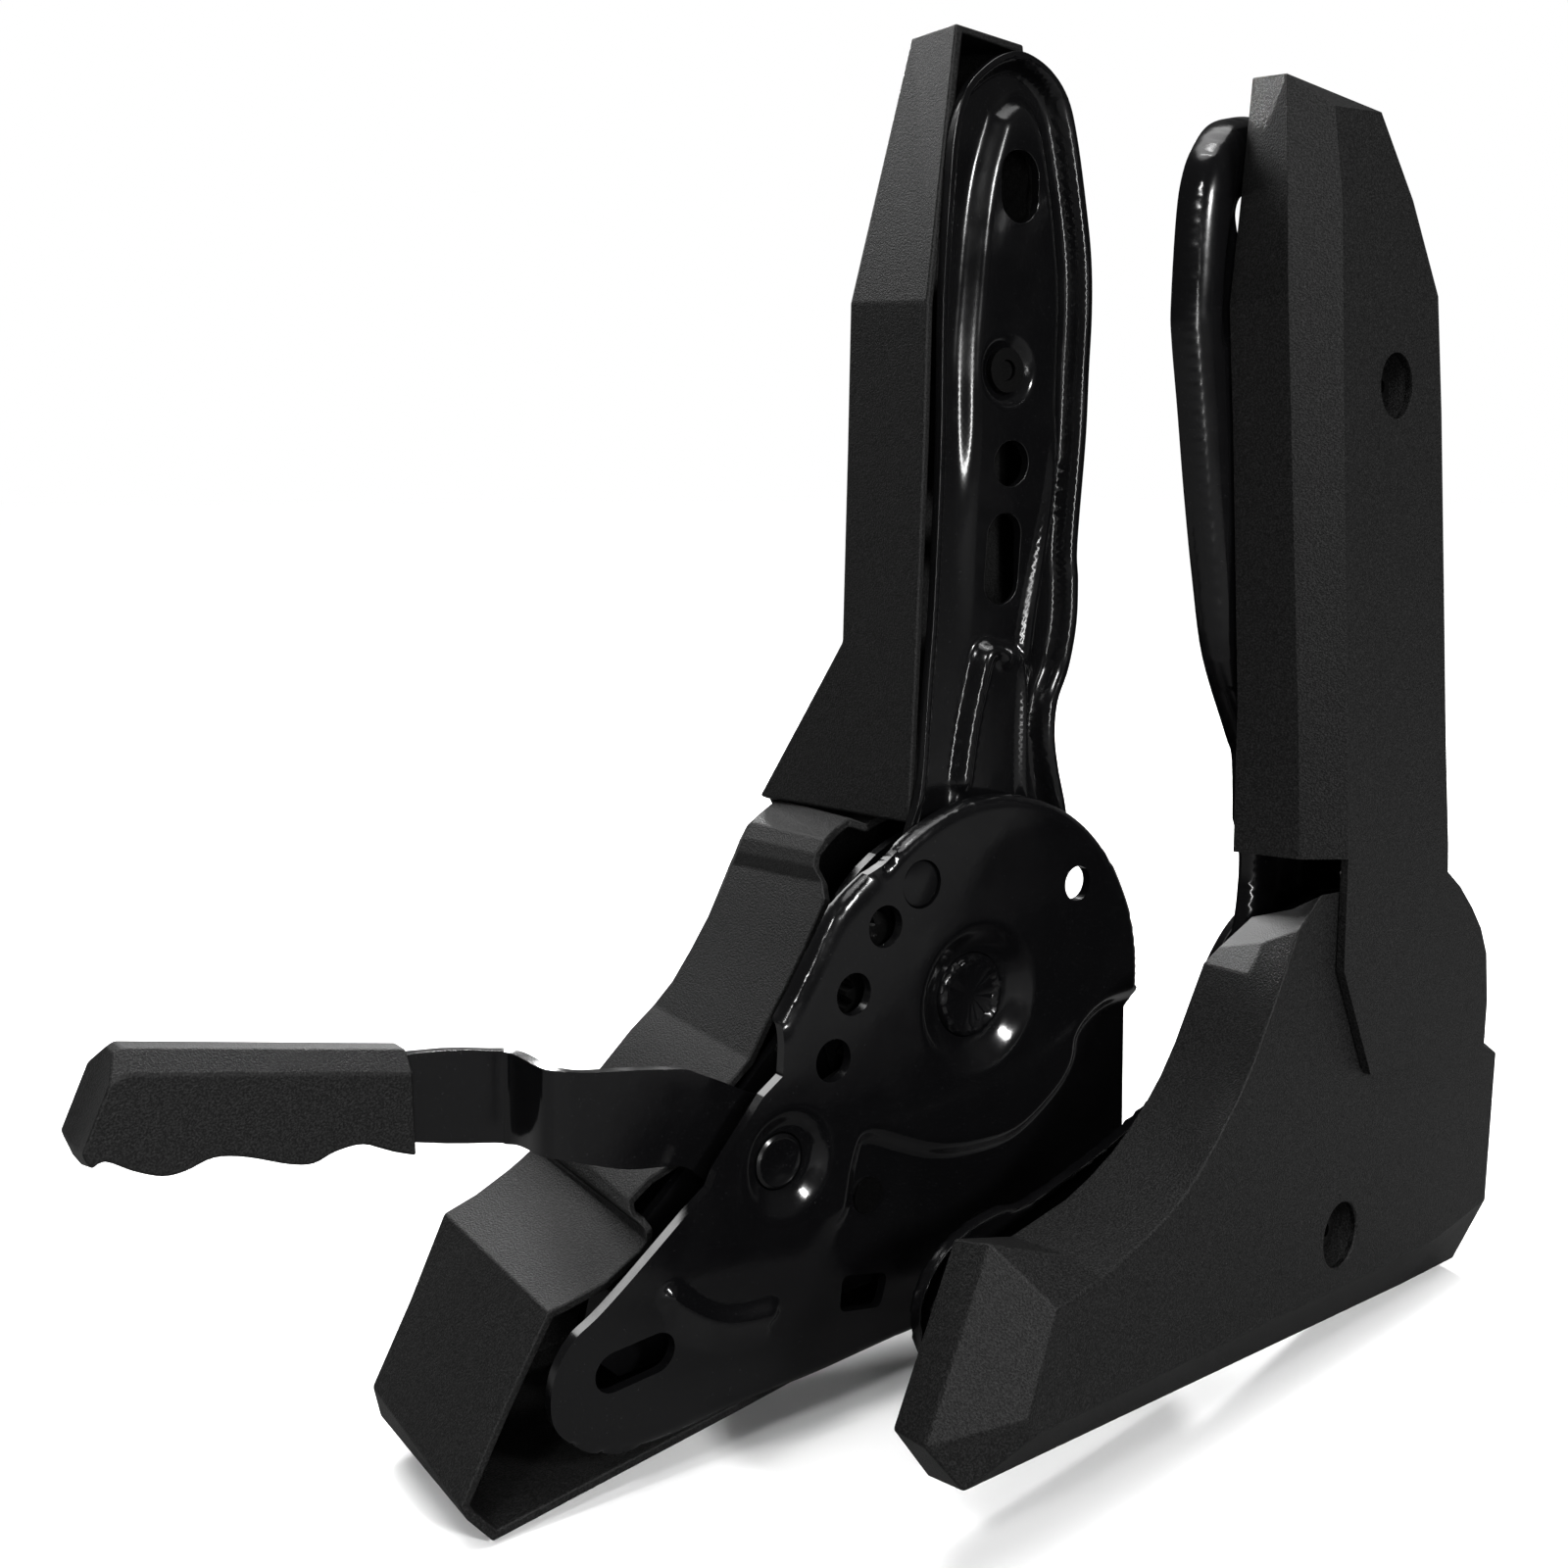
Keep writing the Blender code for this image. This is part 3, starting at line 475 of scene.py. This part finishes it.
def main_arm():
    front = spline([(-27, 32), (-20, 50), (-16, 62), (-14, 86), (-11.5, 115), (-9.5, 158), (-9, 198),
                    (-7, 228), (-5, 246), (-0.5, 258), (8, 266), (16, 270), (23, 270.5), (32, 267), (39, 260),
                    (43, 249), (47, 230), (49.5, 214), (50, 198), (49, 180), (48, 160), (45, 129),
                    (45.5, 118), (45, 105), (42, 92), (37.5, 82), (36.5, 72), (38, 62), (41, 51),
                    (43, 40)], 5)
    foot = arc(0, 0, FOOT_R, 44, -225, 50)

    def depth(pts):
        deep = 7.5 + 6.5 * ease(distance(pts, front, closed=False), 2.0, 5.0)
        deep -= 4.5 * ease(signed(pts, closed_spline(MAIN_PANEL)), -4.0, 3.0) * ease(pts[:, 1], 95, 170)
        deep -= bead(pts, MAIN_RIDGE, 5, 3.4, 2.4) * ease(-pts[:, 1], -175, -130)
        deep -= 3.0 * ease(signed(pts, closed_spline(MAIN_NECK)), -2.5, 1.5) * ease(pts[:, 1], 36, 50)
        deep -= bead(pts, MAIN_HOOK, 6, 3.2, 2.2)
        return deep + 2.8 * cone(pts, (18, 180), 6.0, 11.0)

    def back(pts, near):
        return np.minimum(near + SHEET, ARM_BACK)

    holes = [slot(22, 233, 21, 14.6), circle(18, 180, 4.4), circle(20, 153, 6.7), slot(19, 125, 27, 13.2),
             circle(0, 0, ARM_BORE_R)]
    pressed(MAIN, "visual_main_arm", MAIN.back, ["main_arm"], front + foot[1:], holes, depth, back, pitch=1.1)


def side_arm():
    edge = spline([(-43, 17), (-38, 24), (-32, 31.5), (-27.5, 41), (-25.5, 51), (-25, 61), (-26, 89),
                   (-30, 98), (-43, 122), (-49, 145), (-54, 170), (-58, 194), (-61.5, 214), (-62, 224),
                   (-60, 249), (-57, 261), (-52, 269), (-45, 275.5), (-35, 279), (-23, 280), (-12, 277),
                   (-4, 270), (1, 260), (5, 240), (7, 214), (7, 190), (8, 160), (9, 129), (11, 105),
                   (13, 92), (17, 75), (26, 56), (34, 42)], 5)
    foot = arc(0, 0, FOOT_R, 51, -203, 50)

    def depth(pts):
        s = distance(pts, edge, closed=False)
        deep = 4.5 + 7.5 * np.sqrt(1 - np.clip(1 - s / 9.0, 0, 1) ** 2)
        rib = distance(pts, spline([(-49, 215), (-47, 240), (-40, 258), (-28, 263)], 5), closed=False)
        low = 6.9 * ease(-pts[:, 1], -90, -60)
        return np.maximum(deep - 1.5 * (1 - ease(rib, 0.5, 3.5)), low)

    holes = [slot(-36.5, 246, 21, 14.6), circle(-11, 201, 4.6), circle(-25, 172, 6.7),
             slot(-20, 142, 27, 13.4), circle(0, 0, ARM_BORE_R)]
    pressed(SIDE, "visual_side_arm", SIDE.back, ["side_arm"], edge + foot[1:], holes, depth, pitch=1.3)


def side_plate():
    disc = arc(6, -5, 50.0, -8, 150, 50)
    edge = spline([(-46, 2), (-62, -6), (-84, -12), (-108, -17), (-125, -19), (-135, -17.5), (-148, -19),
                   (-158, -23), (-165, -30), (-167, -37), (-165, -46), (-158, -56), (-148, -60),
                   (-132, -61)], 5)
    end = [(56, -72), (56, -15)]
    holes = [slot(-146, -38, 29, 12.6, 8), circle(-18, 28, 5.3), circle(0, 0, 8.3)]
    holes += [circle(x, z, 6.6) for x, z in ((-31, 9), (-42, -9))]

    def depth(pts):
        return curl(pts, edge, 3.0, 2.4)

    pressed(SIDE, "visual_side_inner_plate", SIDE.base, ["side_inner_plate"], disc + edge + end, holes,
            depth, plate_back, 1.5)


# ---------------------------------------------------------------- covers

def channel(unit, name, body, node, rows, tongue, tongue_d):
    """An upper cover and its tongue. A row goes from front rim, crease and face edge to the rear ones."""
    top, bottom = rows[-1], rows[0]
    caps = [list(reversed(top)), [bottom[2]] + [(x, tongue_d, z) for x, z in tongue] + [bottom[3]]]
    return shell(unit, name, body, node, loft(unit, rows, caps))


def main_upper_cover():
    rows = [
        [(-18, 11, 51), (-27, 71, 51), (-18, 81, 50), (48, 81, 50), (55, 71, 51), (54, 30, 53)],
        [(-15.6, 11, 98), (-16, 44, 100), (-6, 55, 100), (40, 55, 100), (50, 44, 100), (50, 28, 100)],
        [(-13, 11, 158), (-15, 43, 158), (-5, 54, 158), (38, 54, 158), (48, 43, 158), (48, 26, 158)],
        [(-12, 11, 198), (-14, 43, 200), (-4, 54, 200), (36, 54, 200), (46, 43, 200), (46, 24, 200)],
        [(-2, 11, 276), (9, 43, 280), (15, 50, 277), (20, 50, 277), (25, 43, 279), (28, 15, 275)],
    ]
    tongue = [(-2, 20), (10, -22), (34, -22), (44, 20)]
    channel(MAIN, "visual_main_upper_cover", MAIN.back, "main_upper_cover", rows, tongue, 81)


def tray(unit, name, node, stations, closed=False):
    """A lower cover. Each station lists its points from the rim to the outer face, as (x, d, z)."""
    rows = [list(row) for row in zip(*stations)]
    skin = loft(unit, rows, [rows[-1]], closed)
    return shell(unit, name, unit.base, node, skin, bevel=0.7, angle=14)


def main_lower_cover():
    """Walls by rim point (x, d, z) and outer edge, offsets to the face's edge, and a hood round the disc."""
    walls = [
        (-23, 31.5, 50, -24, 50.5), (-28, 31.5, 47.5, -28.5, 48), (-34.8, 28, 45.5, -34, 44.5),
        (-38.3, 28, 42, -37, 40), (-39.8, 27, 38.5, -39, 36), (-38.8, 24, 34.5, -41, 32.5),
        (-41.5, 19, 31, -42.5, 29.5), (-49, 19, 18, -49.5, 18), (-55.5, 19, 8, -56, 8.5),
        (-62, 19, -1, -62.5, 0), (-67.5, 19, -10, -69, -6), (-76, 19, -16.5, -77, -12),
        (-90.5, 18, -32, -88, -22), (-100.6, 18, -35.1, -99, -31), (-106.8, 18, -39.3, -104, -36),
        (-108, 15, -42, -106, -38), (-107.2, 13, -43.5, -107.5, -38.7), (-105.5, 11.5, -45.5, -108.5, -39.4),
        (-105.6, 11, -48.3, -109.5, -40), (-107.7, 11, -50.5, -110.8, -40.9),
        (-110.7, 11, -52.1, -113, -42.3), (-117.4, 11, -55.7, -117.2, -44.6),
        (-129.2, 11, -58.3, -126.9, -49.1), (-134.3, 11, -59.1, -136.4, -52.1), (-147, 11, -80, -147, -74),
        (-158.8, 11, -101.3, -158, -94.5), (-157, 11, -105, -156, -103), (-150, 11, -113, -150, -111),
        (-75, 11, -103, -75, -103), (60, 11, -83, 60, -83), (66, 11, -74, 66, -74), (62, 11, -20, 62, -20),
        (60, 33, 0, 60, 0), (54, 33, 24, 54, 24),
    ]
    face = [(2, -2)] * 7 + [(3, -2)] * 6 + [(2, -3)] * 11 + [(4, -1), (4, -1), (5, 0), (6, 3), (0, 6)]
    face += [(-6, 5), (-6, 3), (-6, 0), (-6, 0), (-5, -2)]
    hood_r, hood_rim, wall_top, face_d, inward = 52.2, 28, 66, 71, 0.93
    stations = [[(x, d, z), (u, wall_top, w), (u + dx, face_d, w + dz)]
                for (x, d, z, u, w), (dx, dz) in zip(walls, face)]
    stations += [[(x, hood_rim, z), (x, wall_top, z), (x * inward, face_d, z * inward)]
                 for x, z in arc(0, 0, hood_r, 28, 112, 16)]
    tray(MAIN, "visual_main_lower_cover", "main_lower_cover", stations, closed=True)


def side_upper_cover():
    rows = [
        [(-43, 16, 66), (-39, 35, 66), (-33, 47, 67), (29, 47, 62), (37, 35, 66), (39, 16, 66)],
        [(-42, 16, 108), (-40.6, 35, 100), (-35, 47, 100), (25.5, 47, 95), (35, 35, 95), (37, 16, 95)],
        [(-47, 16, 188), (-48, 35, 188), (-41, 47, 190), (17, 47, 194), (26, 35, 192), (28, 16, 190)],
        [(-50, 16, 223), (-51, 35, 225), (-43, 47, 224), (13, 47, 228), (22, 35, 226), (24, 16, 224)],
        [(-45, 16, 254), (-52.5, 35, 256), (-44.5, 47, 250), (-4, 47, 254), (7, 35, 254), (11, 16, 254)],
        [(-40, 16, 288), (-54, 35, 284), (-46, 45, 275), (-20, 45, 277), (-10, 35, 280), (-6, 16, 284)],
    ]
    tongue = [(-34, 35), (-17, 1), (16, -2), (30, 33)]
    cover = channel(SIDE, "visual_side_upper_cover", SIDE.back, "side_upper_cover", rows, tongue, 47)
    recess(SIDE, SIDE.back, cover, (-11, 201), 47.0, "side_upper")


def side_lower_cover():
    rim, mid, face = 16.0, 32.0, 44.0
    stations = [
        [(-32, rim, 45), (-37, mid, 51), (-42, face, 58)],
        [(-50, rim, 39), (-52, mid, 44), (-54, face, 50)],
        [(-58, rim, 36), (-60, mid, 36), (-63, face, 36)],
        [(-65, rim, 26), (-67, mid, 26.5), (-69, face, 27.5)],
        [(-72, rim, 16), (-73, mid, 17), (-75, face, 19)],
        [(-79, rim, 8), (-80.5, mid, 9), (-83, face, 10)], [(-86, rim, 2), (-88, mid, 2), (-92, face, 2)],
        [(-94, rim, -3.5), (-96, mid, -3.5), (-99.5, face, -4)],
        [(-102, rim, -8), (-104, mid, -8), (-107, face, -9)],
        [(-112, rim, -12), (-113, mid, -12), (-116, face, -13)],
        [(-122, rim, -15), (-123, mid, -15), (-126, face, -16)],
        [(-145, rim, -18), (-144, mid, -18), (-144, face, -20)],
        [(-167, rim, -12), (-168, 28, -9), (-162, face, -22)],
        [(-189, rim, -52), (-191, 28, -51), (-173, face, -45)],
        [(-176, rim, -69), (-184, 34, -62), (-169, face, -50)],
        [(30, rim, -88), (30, 34, -82), (30, face, -65)], [(70, rim, -90), (68, 34, -85), (69, face, -62)],
        [(80, rim, -14), (80, 38, -14), (74, face, -14)], [(71, rim, -9), (71, 38, -9), (65, face, -10)],
        [(71.5, rim, 5), (71.5, 38, 5), (66.5, face, 5)], [(70, rim, 22), (70, 38, 22), (65, face, 21)],
        [(65, rim, 32), (65, 38, 32), (60.5, face, 30)], [(58, rim, 41), (58, 38, 41), (54, face, 37.5)],
        [(49, rim, 49), (49, 38, 49), (45.5, face, 45.5)], [(38, rim, 56), (38, 38, 56), (35, face, 52)],
    ]
    cover = tray(SIDE, "visual_side_lower_cover", "side_lower_cover", stations)
    recess(SIDE, SIDE.base, cover, (-27, -45), face, "side_lower")


def tube(unit, at, rings, sides=40, cap=True):
    """A bmesh turned round an axis across the unit at x, z = at; rings are (radius, depth)."""
    bm = bmesh.new()
    loops = []
    for r, d in rings:
        if r <= 0:
            loops.append([bm.verts.new(unit.place(at[0], d, at[1]))] * sides)
        else:
            loops.append([bm.verts.new(unit.place(x, d, z)) for x, z in circle(*at, r, sides)])
    for low, high in zip(loops, loops[1:]):
        for i in range(sides):
            j = (i + 1) % sides
            corners = list(dict.fromkeys((low[i], low[j], high[j], high[i])))
            if len(corners) > 2:
                bm.faces.new(corners)
    for loop in (loops[0], loops[-1]):
        if cap and len(set(loop)) > 2:
            bm.faces.new(loop)
    bmesh.ops.recalc_face_normals(bm, faces=bm.faces)
    return bm


def recess(unit, body, cover, at, face, name):
    """A deep screw recess: the cover is bored through and a cup piece lines the hole."""
    rings = [(0, face - 6), (RECESS_R, face - 6), (RECESS_R, face + 3), (0, face + 3)]
    bore = linked_object(name + "_bore", tube(unit, at, rings))
    bore.hide_render = True
    bore.hide_viewport = True
    step = cover.modifiers.new("Recess", "BOOLEAN")
    step.operation = "DIFFERENCE"
    step.object = bore
    step.solver = "EXACT"
    names = [m.name for m in cover.modifiers]
    cover.modifiers.move(names.index("Recess"), 1)
    low = face - RECESS_DEEP
    rings = [(SCREW_R, low), (RECESS_R - 0.6, low), (RECESS_R, low + 0.6), (RECESS_R, face - 0.6),
             (RECESS_R + 0.4, face - 0.1), (RECESS_R + 1.2, face - 0.4), (RECESS_R + 1.2, low - 1.5),
             (SCREW_R, low - 1.5), (SCREW_R, low)]
    add_piece("visual_" + name + "_cup", tube(unit, at, rings, cap=False), PLASTIC, body)


# ---------------------------------------------------------------- lever and grip

def lever_bar():
    """A flat bar on edge with a square crank. A station is x, upper edge, lower edge and middle depth."""
    stations = [(-58, -28, -38, 13.5), (-61, -22, -44, 13.5), (-66, -19, -47, 13.5),
                (-72, -16.5, -46.5, 13.5), (-80, -12, -42, 13.5), (-88, -8, -36, 13.5),
                (-92, -6, -32.5, 13.5), (-97, -4.9, -30.8, 13.5), (-110, -2.6, -28.6, 13.5),
                (-122, -0.8, -24.5, 13.5), (-127.5, 0.6, -22.3, 13.7), (-130.8, 1.3, -21.3, 15.5),
                (-131.8, 1.6, -21.2, 19), (-132, 1.7, -21.4, 24), (-132.4, 1.8, -21.8, 28.5),
                (-134, 2.0, -22.2, 32), (-138, 2.7, -21.4, 33.3), (-160, 6.2, -16.4, 33.5),
                (-222, 9.5, 1.5, 33.5)]
    path = spline([Vector(p) for p in stations], 4)
    rows = []
    for i, (x, high, low, d) in enumerate(path):
        a, b = path[max(i - 1, 0)], path[min(i + 1, len(path) - 1)]
        along = Vector((b[0] - a[0], b[3] - a[3])).normalized()
        nx, nd = along.y * SHEET / 2, -along.x * SHEET / 2
        rows.append([(x + nx, d + nd, low), (x + nx, d + nd, high), (x - nx, d - nd, high),
                     (x - nx, d - nd, low)])
    bm = loft(MAIN, rows, [rows[0], list(reversed(rows[-1]))], closed=True)
    add_piece("visual_lever_bar", bm, STEEL, "lever", ["lever_bar"], bevel=0.5, angle=50)


def lever_grip():
    """A block with wide chamfers along its top and nose and three shallow finger grooves below."""
    waves = spline([(-238.5, -4.4), (-235.5, -3.4), (-229.4, -7), (-223.2, -9.6), (-218, -9.6), (-211.5, -8),
                    (-204, -9.6), (-194, -13.6), (-188, -14.8), (-182.5, -13.2), (-175.5, -13), (-168, -16.5),
                    (-162.0, -18.8)], 4)
    outer = [(-161.5, 7.5), (-229.8, 21.0), (-231.8, 19.8), (-239.9, -0.8), (-239.5, -3.4)] + waves
    inner = [(-162.5, 3.2), (-230.5, 16.6), (-234.2, 15.0), (-240.4, 0.6), (-239.4, -1.6)]
    inner += [(x + 0.2, z + 1.2) for x, z in waves]
    middle, flat, half = 36.0, 3.0, 9.5
    rings = ((middle - half, inner), (middle - flat, outer), (middle + flat, outer), (middle + half, inner))
    rows = [[(x, d, z) for x, z in ring] for d, ring in rings]
    bm = loft(MAIN, rows, [rows[0], list(reversed(rows[-1]))], closed=True)
    add_piece("visual_lever_grip", bm, PLASTIC, "lever", ["lever_grip"], bevel=0.7, angle=22)


# ---------------------------------------------------------------- fasteners

def ragged(bm, centre, low, high):
    """Knock a ring of a turned head about, as if it had been spun over and chipped."""
    rough = random.Random(5)
    for v in bm.verts:
        if low * MM < (v.co - centre).length < high * MM:
            v.co += Vector([rough.uniform(-0.35, 0.35) * MM for _ in range(3)])


def main_fasteners():
    rings = [(0, 3.9), (8.4, 3.8), (9.4, 3.3), (10.4, 2.9), (11.3, 3.2), (12.0, 4.0), (12.2, 5.0),
             (12.2, 5.6), (8.0, 5.7), (8.0, 28.5), (0, 28.5)]
    pin = tube(MAIN, (0, 0), rings, 72)
    ragged(pin, MAIN.place(0, 3, 0), 9.0, 11.6)
    add_piece("visual_main_pivot_pin", pin, STEEL, MAIN.base, ["main_pivot_pin"])
    rings = [(0, 0.5), (5.6, 0.5), (6.3, 0.7), (6.8, 1.3), (6.8, 5.4), (0, 5.4)]
    add_piece("visual_main_stop_rivet", tube(MAIN, (-22, 36), rings), STEEL, MAIN.base, ["main_stop_rivet"])
    rings = [(0, 3.0), (5.6, 2.9), (6.6, 2.4), (7.4, 2.9), (7.5, 4.8), (6.0, 5.0), (6.0, 29), (0, 29)]
    add_piece("visual_lever_shaft", tube(MAIN, LEVER, rings), STEEL, "lever", ["lever_shaft"])


def finish_cad_nodes():
    """CAD nodes keep their shapes: the plates are painted and everything else is bare."""
    for name, node in frame["nodes"].items():
        node.data.materials.clear()
        node.data.materials.append(STEEL if name.endswith("plate") else METAL)


main_plate()
main_arm()
main_upper_cover()
main_lower_cover()
side_plate()
side_arm()
side_upper_cover()
side_lower_cover()
lever_bar()
lever_grip()
main_fasteners()
finish_cad_nodes()


# ---------------------------------------------------------------- floor, light and camera

def camera_level(tree, seen, lit):
    """One level for what is seen straight and another for what it sheds on the object."""
    ray = tree.nodes.new("ShaderNodeLightPath")
    level = tree.nodes.new("ShaderNodeMapRange")
    level.inputs["To Min"].default_value = lit
    level.inputs["To Max"].default_value = seen
    tree.links.new(ray.outputs["Is Camera Ray"], level.inputs["Value"])
    return level


def floor(seen, lit):
    """A white floor that lights the object only weakly from below."""
    bpy.ops.mesh.primitive_plane_add(size=40.0, location=(0.0, 0.0, -0.0005))
    ob = bpy.context.object
    mat = new_material("pale_floor", (seen,) * 3, 0.9)
    tree = mat.node_tree
    level = camera_level(tree, seen, lit)
    tree.links.new(level.outputs["Result"], tree.nodes["Principled BSDF"].inputs["Base Color"])
    ob.data.materials.append(mat)


def overhead(strength):
    """An even ceiling light."""
    light = bpy.data.lights.new("overhead", "SUN")
    light.energy = strength
    light.angle = math.radians(50)
    bpy.context.scene.collection.objects.link(bpy.data.objects.new("overhead", light))


def softbox(name, at, target, width, height, watts):
    light = bpy.data.lights.new(name, "AREA")
    light.shape = "RECTANGLE"
    light.size, light.size_y, light.energy = width, height, watts
    ob = bpy.data.objects.new(name, light)
    bpy.context.scene.collection.objects.link(ob)
    ob.location = at
    ob.rotation_euler = (Vector(target) - Vector(at)).to_track_quat("-Z", "Y").to_euler()


def world(seen, lit):
    """A white surround behind the object that itself lights it only weakly."""
    data = bpy.data.worlds.new("studio")
    data.use_nodes = True
    tree = data.node_tree
    background = tree.nodes["Background"]
    background.inputs["Color"].default_value = (1.0, 1.0, 1.0, 1.0)
    tree.links.new(camera_level(tree, seen, lit).outputs["Result"], background.inputs["Strength"])
    bpy.context.scene.world = data


def camera():
    eye = MAIN.place(-337.6, -369.0, 148.1)
    data = bpy.data.cameras.new("camera")
    data.lens, data.sensor_width = 40.5, 36.0
    data.shift_y = -0.115
    data.clip_start, data.clip_end = 0.01, 100.0
    ob = bpy.data.objects.new("camera", data)
    bpy.context.scene.collection.objects.link(ob)
    ob.location = eye
    ob.rotation_euler = (math.radians(86.0), 0.0, math.radians(-36.0))
    bpy.context.scene.camera = ob


MIDDLE = (0.0, 0.0, 0.15)
floor(0.95, 0.15)
overhead(3.2)
softbox("front_key", (0.0, -1.7, 0.95), (0.02, 0.0, 0.15), 0.24, 0.24, 34)
softbox("left_key", (-1.25, -0.9, 1.3), MIDDLE, 0.22, 0.22, 12)
softbox("back_top", (-0.2, 1.7, 1.5), MIDDLE, 1.3, 0.8, 32)
softbox("low_strip", (-0.8, -1.2, 0.3), (0.0, 0.0, 0.25), 0.07, 0.5, 9)
softbox("top_strip", (-0.2, -0.1, 1.6), (0.0, 0.0, 0.2), 0.6, 0.04, 5)
softbox("back_key", (0.9, 1.5, 1.0), MIDDLE, 0.3, 0.3, 30)
world(1.0, 0.1)
bpy.context.scene.view_settings.view_transform = "Standard"
camera()
